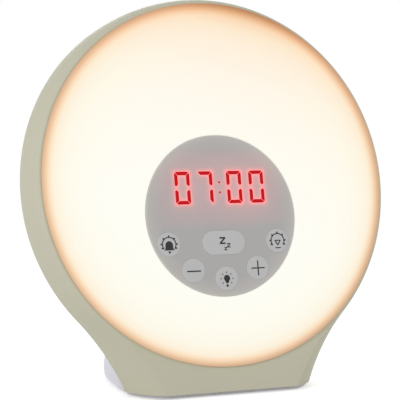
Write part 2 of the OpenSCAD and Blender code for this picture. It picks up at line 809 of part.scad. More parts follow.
module chassis() {
    color([0.82, 0.82, 0.83]) on_face() difference() {
        union() {
            bar(chassis_r, chassis_front, chassis_back);
            for (p = concat(rear_screw_places, main_boss_at)) bar(main_boss_r, chassis_back - cut, boss_back, p);
        }
        for (p = chassis_screw_places) bar(screw_r + shank_clear, chassis_front - cut, chassis_back + cut, p);
        for (p = concat(rear_screw_places, main_boss_at))
            bar(screw_r + shank_clear, boss_back - short_screw_length + board_t, boss_back + cut, p);
        bar(magnet_r + magnet_clear, chassis_front - cut, chassis_back + cut, grille_at);
        cable_slot(chassis_front - cut, chassis_back + cut);
    }
}

// A screw driven in from the back, its head on the face at that depth
module screw(at, face, length) {
    bar(screw_head_r, face, face + head_t, at);
    bar(screw_r, face - length, face + cut, at);
}
module chassis_screws() {
    color([0.6, 0.6, 0.62]) on_face() for (p = chassis_screw_places) screw(p, chassis_back, chassis_screw_length);
}
module rear_screws() {
    color([0.6, 0.6, 0.62]) on_face() for (p = rear_screw_places) screw(p, well_floor, short_screw_length);
}

module main_board() {
    color([0.1, 0.4, 0.22]) on_face() difference() {
        block(main_size[0], main_size[1], boss_back, boss_back + board_t, [0, main_v]);
        for (p = main_boss_at) bar(screw_r + shank_clear, boss_back - cut, boss_back + board_t + cut, p);
    }
}
module board_screws() {
    color([0.6, 0.6, 0.62]) on_face() for (p = main_boss_at) screw(p, boss_back + board_t, short_screw_length);
}

// A processor, a memory, three capacitors beside the lower left screw and a connector
processor = [12, 12, 1.8];
memory = [8, 6, 1.5];
capacitor = [2.5, 6];
connector = [10, 6, 5];
part_gap = 1;
processor_up = 1;
memory_up = 4;
module main_board_parts() {
    back = boss_back + board_t;
    low = main_v - main_boss_v;
    first = screw_head_r + capacitor[0] + 2 * clear - main_boss_u;
    color([0.15, 0.15, 0.16]) on_face() {
        block(processor[0], processor[1], back, back + processor[2], [-main_boss_u / 4, main_v + processor_up]);
        block(memory[0], memory[1], back, back + memory[2], [main_boss_u / 3, main_v + memory_up]);
        for (i = [0:2]) bar(capacitor[0], back, back + capacitor[1],
            [first + i * (2 * capacitor[0] + part_gap), low + part_gap]);
        block(connector[0], connector[1], back, back + connector[2], [main_boss_u / 2, low + part_gap]);
    }
}

module display_cable() {
    run = cable_at[1] - (main_v + main_size[1] / 4);
    turn = chassis_back + boss_h / 2;
    color([0.85, 0.85, 0.8]) on_face() {
        block(cable_w, cable_t, key_board_front + board_t, turn, cable_at);
        block(cable_w, run, turn - cable_t, turn, cable_at - [0, run / 2]);
        block(cable_w, cable_t, turn - cable_t, boss_back, cable_at - [0, run]);
    }
}

// ---- Speaker ----

gasket_t = 0.6;
gasket_w = 2;
speaker_back = grille_seat - grille_ledge - gasket_t;
// The basket's flat rim, and its slanting wall, on which the edge of the cone rests
rim_w = 3;
slant = 1.2;
vent_r = 3.8;
rim_in = speaker_r - rim_w;
basket_mouth = rim_in - slant;
// The cone: its edge, its thickness, and the ring and the dome in its middle
cone_lap = 0.05;
cone_t = 0.5;
cone_edge_w = 1;
cone_out = basket_mouth + cone_lap;
cone_low = 2.4;
coil_r = 4.3;
dome_r = 2.9;

module speaker_grille() {
    rings = floor((grille_r - grille_border) / grille_pitch);
    color([0.8, 0.79, 0.82]) on_face() difference() {
        bar(grille_r - clear, grille_seat, grille_seat + grille_t, grille_at);
        bar(grille_hole_r, grille_seat - cut, grille_seat + grille_t + cut, grille_at);
        for (ring = [1:rings], i = [0:6 * ring - 1])
            let (a = i * 60 / ring)
            bar(grille_hole_r, grille_seat - cut, grille_seat + grille_t + cut,
                grille_at + ring * grille_pitch * [cos(a), sin(a)]);
    }
}
module speaker_gasket() {
    color([0.2, 0.2, 0.2]) on_face() difference() {
        bar(speaker_r, speaker_back, speaker_back + gasket_t, grille_at);
        bar(speaker_r - gasket_w, speaker_back - cut, speaker_back + gasket_t + cut, grille_at);
    }
}
module speaker_frame() {
    mouth = speaker_back - 1.6 * basket_t;
    bottom = speaker_back - basket_depth;
    color([0.5, 0.5, 0.52]) on_face() turned([
        [rim_in, speaker_back], [speaker_r, speaker_back], [speaker_r, speaker_back - basket_t],
        [rim_in, mouth], [magnet_r, bottom], [vent_r, bottom],
        [vent_r, bottom + basket_t], [magnet_r - basket_t, bottom + basket_t], [basket_mouth, mouth]
    ], grille_at);
}
module speaker_cone() {
    edge = speaker_back - cone_t - clear / 3;
    low = speaker_back - basket_depth + cone_low;
    color([0.25, 0.25, 0.27]) on_face() turned([
        [0, low + 3.2 * cone_t], [dome_r, low + 2 * cone_t], [coil_r, low + cone_t], [cone_out - cone_edge_w, edge],
        [cone_out, edge], [cone_out, edge - cone_t], [cone_out - cone_edge_w, edge - cone_t],
        [coil_r, low], [dome_r, low + cone_t], [0, low + 2.2 * cone_t]
    ], grille_at);
}
module speaker_magnet() {
    color([0.4, 0.4, 0.42]) on_face()
        bar(magnet_r, speaker_back - speaker_depth, speaker_back - basket_depth, grille_at);
}

front_housing();
rear_housing();
base_plate();
diffuser();
display_panel();
alarm_key();
snooze_key();
sunset_key();
minus_key();
plus_key();
light_key();
display_cup();
display_module();
digit_segments();
key_board();
key_switches();
reflector();
led_board();
led_emitters();
chassis();
chassis_screws();
main_board();
main_board_parts();
board_screws();
display_cable();
speaker_grille();
speaker_frame();
speaker_cone();
speaker_magnet();
speaker_gasket();
rear_screws();
power_inlet();
cell_holder();
cell_contact();
coin_cell();
battery_cover();
base_screws();
rubber_feet();
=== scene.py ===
import math

import bmesh
import bpy
import numpy as np
from mathutils import Matrix, Vector

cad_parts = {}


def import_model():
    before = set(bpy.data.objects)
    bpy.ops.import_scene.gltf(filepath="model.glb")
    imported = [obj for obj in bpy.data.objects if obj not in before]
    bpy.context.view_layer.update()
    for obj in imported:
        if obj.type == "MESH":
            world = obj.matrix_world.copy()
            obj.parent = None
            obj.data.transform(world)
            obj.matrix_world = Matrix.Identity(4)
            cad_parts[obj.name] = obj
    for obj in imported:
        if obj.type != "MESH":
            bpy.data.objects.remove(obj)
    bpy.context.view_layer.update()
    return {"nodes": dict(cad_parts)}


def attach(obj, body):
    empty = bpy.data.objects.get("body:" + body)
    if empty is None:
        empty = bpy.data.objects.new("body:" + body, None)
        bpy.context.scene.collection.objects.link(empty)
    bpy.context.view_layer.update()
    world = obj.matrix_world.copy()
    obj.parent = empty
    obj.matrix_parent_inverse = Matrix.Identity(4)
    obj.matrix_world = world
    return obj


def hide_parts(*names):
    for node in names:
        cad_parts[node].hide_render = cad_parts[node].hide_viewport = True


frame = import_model()
nodes = frame["nodes"]

# Sizes are in millimetres. A place on the face is u to the right, v up the face and d behind the rim.
MM = 0.001

# ---- Sizes of the solids ----

# Depth of the whole, height of the face's lower edge, and lean back from upright
DEPTH, APRON, LEAN = 118.0, 13.6, math.radians(11.5)
# Radius of the front rim, swell of the side beyond it, and depth of the front housing
FACE_R, BULGE, SIDE = 90.0, 4.6, 19.0
# Half the width of the foot, at the front edge and at the parting line
FOOT_FRONT, FOOT_BACK = 33.5, 49.0
# Radius of the hollow curve from the round into the foot, at the front and at the parting line
NECK_FRONT, NECK_BACK = 135.0, 120.0
# Wall of the housings, and height of their underside
WALL, GROUND = 2.2, 2.2
# Step of the rear housing inside the front one, and swell of the back
STEP, DOME = 0.6, 15.0
# The tail: height and softness of its slope, its powers at the ground and BELL_Z above it, and the foot's
TAIL_MID, TAIL_SOFT, OVAL, BELL, BELL_Z, FOOT_POWER = 30.0, 6.0, 0.5, 2.7, 40.0, 1.5
# Lip round the diffuser, gap, and how far the diffuser stands out of the rim
LIP, GAP, RISE = 0.5, 0.3, 1.5
# The diffuser's seat: depth, width and thickness
SEAT, SEAT_W, SEAT_T = 6.0, 3.9, 2.0
# The diffuser's thickness, and the radius of the solid's edge, which the inside here still follows
DIFFUSER_T, EDGE_R = 2.2, 4.5
# The display panel: radius, gap, thickness and drop below the middle of the face
PANEL_R, PANEL_GAP, PANEL_T, PANEL_DROP = 39.6, 0.3, 2.2, 16.4
# Keys: radius, straight part of the long one, and how far they stand out of the panel
KEY_R, SNOOZE, PROUD = 5.7, 10.8, 0.3
# Places of the keys: sideways and down from the panel's middle
OUTER_U, UPPER_DROP, LOWER_U, LOWER_DROP, LIGHT_DROP = 28.8, 13.5, 17.0, 26.6, 31.0
# Behind the panel a key has a wider flange, with some room before it, and a stem
FLANGE, FLANGE_T, FLANGE_ROOM, STEM_R, STEM = 0.65, 1.0, 0.15, 1.6, 2.4
# Depth of the chassis's bosses, on which the rear screws' pillars stand
BOSS_BACK = 20.3
# Rear screws: places sideways, above and below, and the wells, pillars and floors round them
SCREW_U, SCREW_UP, SCREW_DOWN, WELL_R, PILLAR_R, WELL_FLOOR = 58, 44, -26, 3.3, 4.6, 2.0
# The grille: place, radius, thickness, how far it is sunk in the skin, its ledge, the mouth in that
# ledge, and how far its seat is rooted in the skin
GRILLE_AT, GRILLE_R, GRILLE_T, GRILLE_SUNK, LEDGE, MOUTH_R, ROOTED = (0, 14), 23, 2.0, 0.8, 1.5, 19, 1.0
# The inlet: height, length, radius of its barrel, room round it, and how far it is sunk in the tail
INLET_Z, INLET_LONG, BARREL_R, BARREL_ROOM, INLET_SUNK = 13, 9.5, 4.6, 0.3, 0.5

# ---- Sizes of what only this scene has ----

# The opal disc laps over the rim, with an edge that is rounded more widely than deeply
LAP, LAP_ROOM, EDGE_W, EDGE_D = 0.6, 0.3, 4.8, 0.6
# The front housing's lip has its corner taken off
SOFT_LIP = 0.12
# Caps stand closer to the panel than the solids, which need room to move, and their edges fall to it
SNUG, CROWN = 0.26, 1.4
# How far marks and digits stand out of what carries them and reach into it, and the lit window before it
MARK_OUT, MARK_IN, DIGIT_OUT, DIGIT_IN, WINDOW_OUT = 0.05, 0.05, 0.05, 0.02, 0.015
# Lit digits, set as in the photograph: size, stroke, pitch in a pair and of the pairs, and place
DIGIT_H, DIGIT_W, STROKE, PITCH, PAIR, DIGITS_UP, DIGITS_RIGHT = 16.0, 7.9, 1.72, 12.0, 27.4, 13.7, 0.2
# Half the gap where two strokes meet at a slant and half that at the waist, and the trimmed corner
MITRE, WAIST, TRIM = 0.15, 0.95, 0.9
# The colon's dots: radius, place left of the middle, and place up and down
DOT_R, DOT_LEFT, DOT_UP = 0.55, 0.2, 2.5
# The inlet's pin: radius, how far it ends inside the mouth, and its rounded end
PIN_R, PIN_IN, PIN_ROUND = 1.0, 1.6, 0.4
# The cross in a screw's head: half its length, half its width, and its depth
CROSS_LONG, CROSS_SLIM, CROSS_DEEP = 1.25, 0.32, 0.9
# How far a cutting tool reaches past what it cuts
PAST = 3.0

# Rows and columns of the fine meshes
NECK_ROWS, RIM_ROWS, GROUND_ROWS, SIDE_ROWS = 20, 90, 20, 26
TAIL_ROWS, BACK_COLUMNS, EDGE_ROWS, INSIDE_ROWS, ROUND_STEPS = 24, 44, 18, 8, 240
CAP_ROWS, CAP_STEPS = 8, 96
# Edges that bend by more degrees than this look sharp: on the housings and the screws, on the
# diffuser, on the pieces of the face, and on the rest
SHELL_SMOOTH, OPAL_SMOOTH, FACE_SMOOTH, SMOOTH = 32, 40, 30, 35

# ---- Derived sizes ----

SIN, COS = math.sin(LEAN), math.cos(LEAN)
FACE_H = APRON + FACE_R * COS
FACE_Y = -DEPTH / 2 + (FACE_H - GROUND) * math.tan(LEAN)
OPENING_R = FACE_R - LIP
DIFFUSER_R = OPENING_R - GAP
FACE_D = -RISE
KEY_D = FACE_D - PROUD
PANEL_V = -PANEL_DROP


def world(u, v, d):
    """A place on the face, in millimetres, as a point of the frame in metres."""
    return Vector((u, FACE_Y + v * SIN + d * COS, FACE_H + v * COS - d * SIN)) * MM


def upright(x, y, z):
    """A place on the frame's own axes, in millimetres, as a point in metres."""
    return Vector((x, y, z)) * MM


# ---- The housings' outline, as in the solids but finer ----

def swell(d):
    """From 0 at the rim to 1 at the parting line, like a quarter ellipse."""
    x = 1 - min(1, d / SIDE)
    return math.sqrt(1 - x * x)


def foot_half(d):
    """Half the width of the foot at depth d."""
    x = 1 - min(1, d / SIDE)
    return FOOT_FRONT + (FOOT_BACK - FOOT_FRONT) * (1 - x ** FOOT_POWER) ** (1 / FOOT_POWER)


def round_r(d):
    """Radius of the round at depth d."""
    return FACE_R + BULGE * swell(d)


def neck_r(d):
    """Radius of the hollow curve at depth d."""
    return NECK_FRONT + (NECK_BACK - NECK_FRONT) * swell(d)


def v_at(d, z):
    """Position up the face, at depth d, of the height z above the ground."""
    return (z - FACE_H + d * SIN) / COS


def half_outline(d, inset, z, neck_rows):
    """Right half of the outline at depth d, drawn in by the inset, from the height z up to the top."""
    r, n = round_r(d), neck_r(d)
    px, py = foot_half(d), v_at(d, GROUND)
    k = ((r + n) ** 2 + px * px + py * py - n * n) / (2 * (r + n))
    a = math.atan2(px, -py) + math.acos(k / math.hypot(px, py))
    cx, cy, m = (r + n) * math.sin(a), -(r + n) * math.cos(a), n + inset
    low, high = math.asin((v_at(d, z) - cy) / m), math.pi / 2 - a
    points = []
    for i in range(neck_rows):
        t = low + (high - low) * i / neck_rows
        points.append((cx - m * math.cos(t), cy + m * math.sin(t)))
    for i in range(RIM_ROWS + 1):
        t = a + (math.pi - a) * i / RIM_ROWS
        points.append(((r - inset) * math.sin(t), -(r - inset) * math.cos(t)))
    return points


def outline(d, inset=0, z=GROUND):
    """Closed outline: up the right side, down the left side and back along the ground."""
    half = half_outline(d, inset, z, NECK_ROWS)
    points = half + [(-x, y) for x, y in half[-2::-1]]
    for i in range(1, GROUND_ROWS):
        points.append((half[0][0] * (2 * i / GROUND_ROWS - 1), half[0][1]))
    return points


# ---- Meshes ----

def shade(obj, smooth):
    """Smooth shading, with the edges that bend by more than so many degrees left sharp."""
    mesh = obj.data
    mesh.polygons.foreach_set("use_smooth", [True] * len(mesh.polygons))
    mesh.set_sharp_from_angle(angle=math.radians(smooth))
    mesh.update()


def mesh_object(name, verts, faces, smooth=SMOOTH):
    """An object of the scene from points and faces, with its normals turned outward."""
    mesh = bpy.data.meshes.new(name)
    mesh.from_pydata([tuple(v) for v in verts], [], faces)
    mesh.validate()
    bm = bmesh.new()
    bm.from_mesh(mesh)
    bmesh.ops.recalc_face_normals(bm, faces=bm.faces)
    bm.to_mesh(mesh)
    bm.free()
    obj = bpy.data.objects.new(name, mesh)
    bpy.context.scene.collection.objects.link(obj)
    shade(obj, smooth)
    return obj


def quads(rows, columns, base=0, around=False, end_to_end=False):
    """Faces of a grid of points. Each row can close on itself, and the last row can meet the first."""
    faces = []
    for j in range(rows if end_to_end else rows - 1):
        here, there = base + j * columns, base + (j + 1) % rows * columns
        for i in range(columns if around else columns - 1):
            nxt = (i + 1) % columns
            faces.append((here + i, here + nxt, there + nxt, there + i))
    return faces


def prism_faces(base, k):
    """Faces of a prism: its k front points start at base, and its k back points follow them."""
    return [tuple(base + i for i in range(k)), tuple(base + k + i for i in reversed(range(k))),
            *[(base + i, base + k + i, base + k + (i + 1) % k, base + (i + 1) % k) for i in range(k)]]


def disc(r, at=(0, 0), steps=24, shift=0.0):
    """Points of a circle, which the shift turns by a part of a step."""
    turns = [2 * math.pi * (i + shift) / steps for i in range(steps)]
    return [(at[0] + r * math.cos(t), at[1] + r * math.sin(t)) for t in turns]


def carve(obj, tool, how, smooth):
    """Joins a closed tool to the object or cuts it out, and keeps the result as the object's mesh."""
    mod = obj.modifiers.new("carve", "BOOLEAN")
    mod.operation, mod.object, mod.solver = how, tool, "EXACT"
    graph = bpy.context.evaluated_depsgraph_get()
    made = bpy.data.meshes.new_from_object(obj.evaluated_get(graph))
    obj.modifiers.clear()
    obj.data = made
    bpy.data.objects.remove(tool)
    shade(obj, smooth)


def tube(name, bars, steps):
    """Closed bars in one mesh: each has a radius in millimetres and two ends in metres."""
    verts, faces = [], []
    for r, a, b in bars:
        axis = (b - a).normalized()
        side = axis.orthogonal().normalized()
        over = axis.cross(side)
        base = len(verts)
        for end in (a, b):
            verts += [end + (side * x + over * y) * MM for x, y in disc(r, steps=steps)]
        faces += prism_faces(base, steps)
    return mesh_object(name, verts, faces)


def bar(r, front, back, at):
    """A bar along the face's depth, for tube."""
    return (r, world(*at, front), world(*at, back))


# ---- Materials ----

def rgb(r, g, b):
    """A colour given in the levels that a picture shows, from 0 to 255."""
    levels = [x / 255 for x in (r, g, b)]
    return (*[x / 12.92 if x <= 0.04045 else ((x + 0.055) / 1.055) ** 2.4 for x in levels], 1)


def dark(color, share):
    """The colour with a share of its light taken away."""
    return (*[c * (1 - share) for c in color[:3]], 1)


class Look:
    """A principled material with a few helpers for its nodes."""

    def __init__(self, name, color, rough, **settings):
        self.m = bpy.data.materials.new(name)
        self.m.use_nodes = True
        self.t = self.m.node_tree
        self.s = self.t.nodes["Principled BSDF"]
        self.set(Base_Color=color, Roughness=rough, **settings)
        self.where = self.node("ShaderNodeTexCoord").outputs["Object"]

    def set(self, **settings):
        """Sets sockets of the surface, whose names have _ for a space."""
        for key, value in settings.items():
            self.s.inputs[key.replace("_", " ")].default_value = value

    def node(self, kind, **props):
        n = self.t.nodes.new(kind)
        for k, v in props.items():
            setattr(n, k, v)
        return n

    def link(self, a, b):
        self.t.links.new(a, b)

    def feed(self, socket, value):
        """Links a socket to another one, or sets it to a plain value."""
        if isinstance(value, (int, float, tuple)):
            socket.default_value = value
        else:
            self.link(value, socket)

    def math(self, how, *values):
        n = self.node("ShaderNodeMath", operation=how)
        for i, value in enumerate(values):
            self.feed(n.inputs[i], value)
        return n.outputs[0]

    def noise(self, scale, detail=3.0, rough=0.5):
        n = self.node("ShaderNodeTexNoise")
        n.inputs["Scale"].default_value = scale
        n.inputs["Detail"].default_value = detail
        n.inputs["Roughness"].default_value = rough
        self.link(self.where, n.inputs["Vector"])
        return n.outputs["Fac"]

    def ramp(self, value, stops):
        """A colour for each value from 0 to 1: stops are places and colours."""
        n = self.node("ShaderNodeValToRGB")
        elements = n.color_ramp.elements
        while len(elements) < len(stops):
            elements.new(0.5)
        for element, (place, color) in zip(elements, stops):
            element.position, element.color = place, color
        self.link(value, n.inputs["Fac"])
        return n.outputs["Color"]

    def mix(self, how, fac, a, b):
        """Mixes two colours, for which the node has its inputs 0, 6 and 7 and its output 2."""
        n = self.node("ShaderNodeMix", data_type="RGBA", blend_type=how)
        for i, value in ((0, fac), (6, a), (7, b)):
            self.feed(n.inputs[i], value)
        return n.outputs[2]

    def along(self, axis, origin):
        """Distance along one of the face's axes from a point, in metres."""
        n = self.node("ShaderNodeVectorMath", operation="SUBTRACT")
        self.link(self.where, n.inputs[0])
        n.inputs[1].default_value = origin
        d = self.node("ShaderNodeVectorMath", operation="DOT_PRODUCT")
        self.link(n.outputs[0], d.inputs[0])
        d.inputs[1].default_value = axis
        return d.outputs["Value"]

    def on_face(self, u, v):
        """Distances from a place on the face, in metres: to the right, up the face, and straight."""
        origin = tuple(world(u, v, 0))
        right, up = self.along((1, 0, 0), origin), self.along((0, SIN, COS), origin)
        squares = [self.math("MULTIPLY", x, x) for x in (right, up)]
        return right, up, self.math("SQRT", self.math("ADD", *squares))

    def bump(self, height, strength, distance):
        n = self.node("ShaderNodeBump")
        n.inputs["Strength"].default_value = strength
        n.inputs["Distance"].default_value = distance
        self.link(height, n.inputs["Height"])
        self.link(n.outputs["Normal"], self.s.inputs["Normal"])

    def base(self, color):
        self.link(color, self.s.inputs["Base Color"])

    def rough(self, value, low, high):
        n = self.node("ShaderNodeMapRange")
        self.link(value, n.inputs["Value"])
        n.inputs["To Min"].default_value, n.inputs["To Max"].default_value = low, high
        self.link(n.outputs["Result"], self.s.inputs["Roughness"])


def dress(obj, look):
    """Gives an object one material, and returns the object."""
    obj.data.materials.clear()
    obj.data.materials.append(look.m)
    return obj


def moulded(name, color, rough, grain=0.25, tone=0.04, **settings):
    """Injection-moulded plastic: a fine spark-eroded grain, with faint changes of tone and gloss."""
    look = Look(name, color, rough, **settings)
    look.base(look.mix("MIX", look.noise(scale=22), dark(color, tone), color))
    look.rough(look.noise(scale=900), rough - 0.06, rough + 0.06)
    look.bump(look.noise(scale=2600, detail=4, rough=0.6), strength=grain, distance=0.00004)
    return look


def metal(name, color, rough):
    """Plated metal, slightly uneven in tone and gloss."""
    look = Look(name, color, rough, Metallic=1.0)
    look.base(look.mix("MIX", look.noise(scale=300), dark(color, 0.15), color))
    look.rough(look.noise(scale=1500), rough - 0.07, rough + 0.1)
    look.bump(look.noise(scale=3000, detail=2), strength=0.15, distance=0.00002)
    return look


sage = moulded("sage_plastic", rgb(199, 197, 176), 0.62, 0.03, Specular_IOR_Level=0.25)
pale = moulded("pale_plastic", rgb(226, 224, 231), 0.56, 0.04, Specular_IOR_Level=0.35)
base_plastic = moulded("base_plastic", rgb(204, 202, 208), 0.55, 0.1)
white = moulded("white_plastic", rgb(238, 238, 236), 0.35)
black = moulded("black_plastic", rgb(38, 38, 40), 0.4)
rubber = moulded("rubber", rgb(62, 62, 64), 0.85, 0.6, 0.15)
ribbon = moulded("ribbon", rgb(222, 221, 210), 0.5)
foam = moulded("foam", rgb(52, 52, 54), 0.95, 1.0, 0.2)
cone = moulded("cone", rgb(58, 58, 62), 0.9, 0.9, 0.15)
board = moulded("board_green", rgb(32, 98, 62), 0.35, 0.2, 0.2)
board_white = moulded("board_white", rgb(228, 228, 222), 0.45)
emitter = moulded("emitter", rgb(250, 214, 130), 0.25, 0.1)
key_plastic = moulded("key_plastic", rgb(193, 193, 193), 0.5, 0.2, 0.02)
ink = moulded("ink", rgb(24, 24, 26), 0.6, 0.3, 0.2)
steel = metal("steel", rgb(196, 197, 200), 0.3)
contact = metal("contact_metal", rgb(214, 186, 120), 0.3)

# The lit diffuser: cream in the middle, peach at the top, and orange towards its edge, where the glow fades
# and painted shade stands for the edge turning away
# Its middle lies left of the face's and below it, and its peach side a little right of the top
GLOW_LEFT, GLOW_DOWN, PEACH_UP, PEACH_RIGHT = 0.65, 0.4, 0.966, 0.259
# Strength of its own light, and the share of its colour that outer light finds
GLOW, GLOW_UNLIT = 0.625, 0.42
# Colours from the middle, 0, to the rim, 1, whose last stops darken with painted shade of the rounded edge,
# and from the bottom, 0, to the top, 1
FROM_MIDDLE = [
    (0.0, rgb(255, 255, 248)), (0.62, rgb(255, 254, 245)), (0.795, rgb(255, 253, 240)),
    (0.885, rgb(254, 249, 233)), (0.937, rgb(254, 242, 220)), (0.955, rgb(252, 229, 198)),
    (0.97, rgb(243, 210, 174)), (0.984, rgb(228, 189, 153)), (1.0, rgb(206, 168, 132))]
FROM_BOTTOM = [
    (0.4, rgb(255, 255, 255)), (0.575, rgb(255, 253, 251)), (0.7, rgb(255, 251, 247)),
    (0.775, rgb(255, 249, 243)), (0.825, rgb(255, 246, 239)), (0.9, rgb(255, 242, 232)),
    (0.935, rgb(255, 240, 226)), (0.965, rgb(252, 229, 211)), (0.985, rgb(241, 214, 191)),
    (1.0, rgb(230, 202, 175))]


def glow_look():
    look = Look("opal_diffuser", (1, 1, 1, 1), 0.42, Specular_IOR_Level=0.3, Emission_Strength=GLOW)
    right, up, radius = look.on_face(-GLOW_LEFT, -GLOW_DOWN)
    # Darker towards the rim: the glow fading, with painted shade of the rounded edge
    middle = look.ramp(look.math("DIVIDE", radius, (DIFFUSER_R + LAP) * MM), FROM_MIDDLE)
    slant = look.math("ADD", look.math("MULTIPLY", up, PEACH_UP), look.math("MULTIPLY", right, PEACH_RIGHT))
    share = look.math("ADD", look.math("DIVIDE", slant, 2 * DIFFUSER_R * MM), 0.5)
    color = look.mix("MULTIPLY", 1.0, middle, look.ramp(share, FROM_BOTTOM))
    look.base(look.mix("MULTIPLY", 1.0, color, (GLOW_UNLIT, GLOW_UNLIT, GLOW_UNLIT, 1)))
    look.link(color, look.s.inputs["Emission Color"])
    look.bump(look.noise(scale=1800, detail=2), strength=0.08, distance=0.00002)
    return look


# The display panel: grey and slightly milky, with painted light making it paler towards its edge
PANEL_TINT_AND_GLOW = [
    (0.0, rgb(180, 178, 178)), (0.8, rgb(181, 179, 178)), (0.87, rgb(186, 183, 180)),
    (0.93, rgb(190, 187, 183)), (0.97, rgb(193, 190, 186)), (1.0, rgb(204, 201, 195))]


def panel_look(name):
    look = moulded(name, (0.98, 0.98, 0.98, 1), 0.4, 0.1, 0.03)
    plain = look.s.inputs["Base Color"].links[0].from_socket
    radius = look.on_face(0, PANEL_V)[2]
    # Painted light: the panel's grey turns paler towards its edge
    tint_and_glow = look.ramp(look.math("DIVIDE", radius, PANEL_R * MM), PANEL_TINT_AND_GLOW)
    look.base(look.mix("MULTIPLY", 1.0, plain, tint_and_glow))
    return look


glow = glow_look()
panel = panel_look("panel_plastic")

# The lit window is the panel again, with a painted red glow where the digits' light spreads in it
window = panel_look("lit_panel")
window.set(Emission_Color=(1, 0.01, 0.02, 1))
spread = window.node("ShaderNodeAttribute", attribute_name="spread")
window.link(spread.outputs["Fac"], window.s.inputs["Emission Strength"])

lit = Look("lit_red", rgb(150, 12, 20), 0.6, Specular_IOR_Level=0.0,
           Emission_Color=rgb(202, 34, 36), Emission_Strength=0.5)
lit.base(lit.mix("MIX", lit.noise(scale=700, detail=2), rgb(140, 10, 18), rgb(152, 14, 22)))


# ---- Front housing ----

def round_ring(r, d):
    """A circle whose points lie in the directions of the outline's points."""
    return [world(x * r / math.hypot(x, y), y * r / math.hypot(x, y), d) for x, y in outline(d)]


def skin_ring(d, inset=0, z=GROUND):
    """The outline at depth d, as points of the frame."""
    return [world(x, y, d) for x, y in outline(d, inset, z)]


# The side from the parting line to the rim, the opening with its seat, and the side's inner skin
rings = [skin_ring(SIDE * (1 - math.sin(math.pi / 2 * i / SIDE_ROWS))) for i in range(SIDE_ROWS + 1)]
seat_back = SEAT + SEAT_T
rings += [round_ring(OPENING_R + SOFT_LIP, 0), round_ring(OPENING_R, SOFT_LIP), round_ring(OPENING_R, SEAT),
          round_ring(OPENING_R - SEAT_W, SEAT), round_ring(OPENING_R - SEAT_W, seat_back)]
rings += [skin_ring(seat_back + s * (SIDE - seat_back), WALL, GROUND + WALL) for s in (0, 0.3, 0.65, 1)]
front = mesh_object("front_moulding", [p for ring in rings for p in ring],
                    quads(len(rings), len(rings[0]), around=True, end_to_end=True), SHELL_SMOOTH)
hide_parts("front_housing")
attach(dress(front, sage), "clock")


# ---- Rear housing ----

def parting_y(z):
    """How far back the parting plane lies, at a height above the ground."""
    return FACE_Y + v_at(SIDE, z) * SIN + SIDE * COS


def tail_fall(z):
    """From 1 low on the tail to 0 above it."""
    return 1 / (1 + math.exp((z - TAIL_MID) / TAIL_SOFT))


TAIL = (DEPTH / 2 - parting_y(GROUND) - DOME) / tail_fall(GROUND)


def tail_power(z):
    """The tail is an oval at the ground and a softer bell higher up."""
    return OVAL + (BELL - OVAL) * min(1, max(0, z - GROUND) / BELL_Z) ** FOOT_POWER


def back_reach(u, b, v, z, inset):
    """How far the back reaches behind the parting plane, u from the middle of a row that is b wide."""
    r = round_r(SIDE) - STEP - inset
    cap = math.sqrt(max(0, 1 - v * v / (r * r))) if v > 0 else 1
    t = min(1, abs(u) / b)
    return ((DOME - inset) * cap * math.sqrt(max(0, 1 - t * t))
            + TAIL * tail_fall(z) * max(0, 1 - t * t) ** tail_power(z))


def back_y(z):
    """The back's outer skin on the middle line, at a height above the ground."""
    return parting_y(z) + DOME + TAIL * tail_fall(z)


def back_points(inset):
    """Points of one skin of the back: rows from the ground up, then the top."""
    *half, (_, top_v) = half_outline(SIDE, STEP + inset, GROUND, TAIL_ROWS)
    points = []
    for half_w, v in half:
        z = FACE_H + v * COS - SIDE * SIN
        for j in range(-BACK_COLUMNS, BACK_COLUMNS + 1):
            u = half_w * math.sin(math.pi / 2 * j / BACK_COLUMNS)
            points.append(upright(u, parting_y(z) + back_reach(u, half_w, v, z, inset), z))
    top_z = FACE_H + top_v * COS - SIDE * SIN
    return points + [upright(0, parting_y(top_z), top_z)]


def back_shell():
    """Two skins and the edge between them."""
    columns, rows = 2 * BACK_COLUMNS + 1, TAIL_ROWS + RIM_ROWS
    count = columns * rows + 1
    top, last = count - 1, (rows - 1) * columns
    skin = quads(rows, columns) + [(last + j, last + j + 1, top) for j in range(columns - 1)]
    faces = skin + [tuple(x + count for x in f[::-1]) for f in skin]
    right_side = [i * columns + columns - 1 for i in range(1, rows)]
    left_side = [i * columns for i in range(rows - 1, 0, -1)]
    edge = [*range(columns), *right_side, top, *left_side]
    for i, p in enumerate(edge):
        q = edge[(i + 1) % len(edge)]
        faces.append((q, p, p + count, q + count))
    return mesh_object("rear_moulding", back_points(0) + back_points(WALL), faces)


def skin_depth(p):
    """Depth of the back's outer skin behind the rim, away from the tail."""
    r = round_r(SIDE) - STEP
    return SIDE + DOME * math.sqrt(1 - (p[0] ** 2 + p[1] ** 2) / (r * r)) * COS


screws_at = [(u, v) for u in (-SCREW_U, SCREW_U) for v in (SCREW_UP, SCREW_DOWN)]
grille_skin = skin_depth(GRILLE_AT)
grille_seat = grille_skin - GRILLE_SUNK - GRILLE_T
outside = SIDE + DOME + PAST
mouth_y = back_y(INLET_Z + BARREL_R) - INLET_SUNK

rear = back_shell()
carve(rear, tube("pillars", [
    *[bar(PILLAR_R, BOSS_BACK, skin_depth(p) - WALL / 2, p) for p in screws_at],
    bar(GRILLE_R + WALL, grille_seat - LEDGE, grille_skin - ROOTED, GRILLE_AT)], 96), "UNION", SHELL_SMOOTH)
carve(rear, tube("holes", [
    *[bar(WELL_R, BOSS_BACK + WELL_FLOOR, outside, p) for p in screws_at],
    bar(GRILLE_R, grille_seat, outside, GRILLE_AT),
    bar(MOUTH_R, grille_seat - PAST, grille_seat + ROOTED, GRILLE_AT),
    (BARREL_R + BARREL_ROOM, upright(0, mouth_y - INLET_LONG, INLET_Z),
     upright(0, DEPTH / 2 + PAST, INLET_Z))], 128), "DIFFERENCE", SHELL_SMOOTH)
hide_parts("rear_housing")
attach(dress(rear, pale), "clock")

# ---- Diffuser: a turned disc, with the panel's hole cut out ----

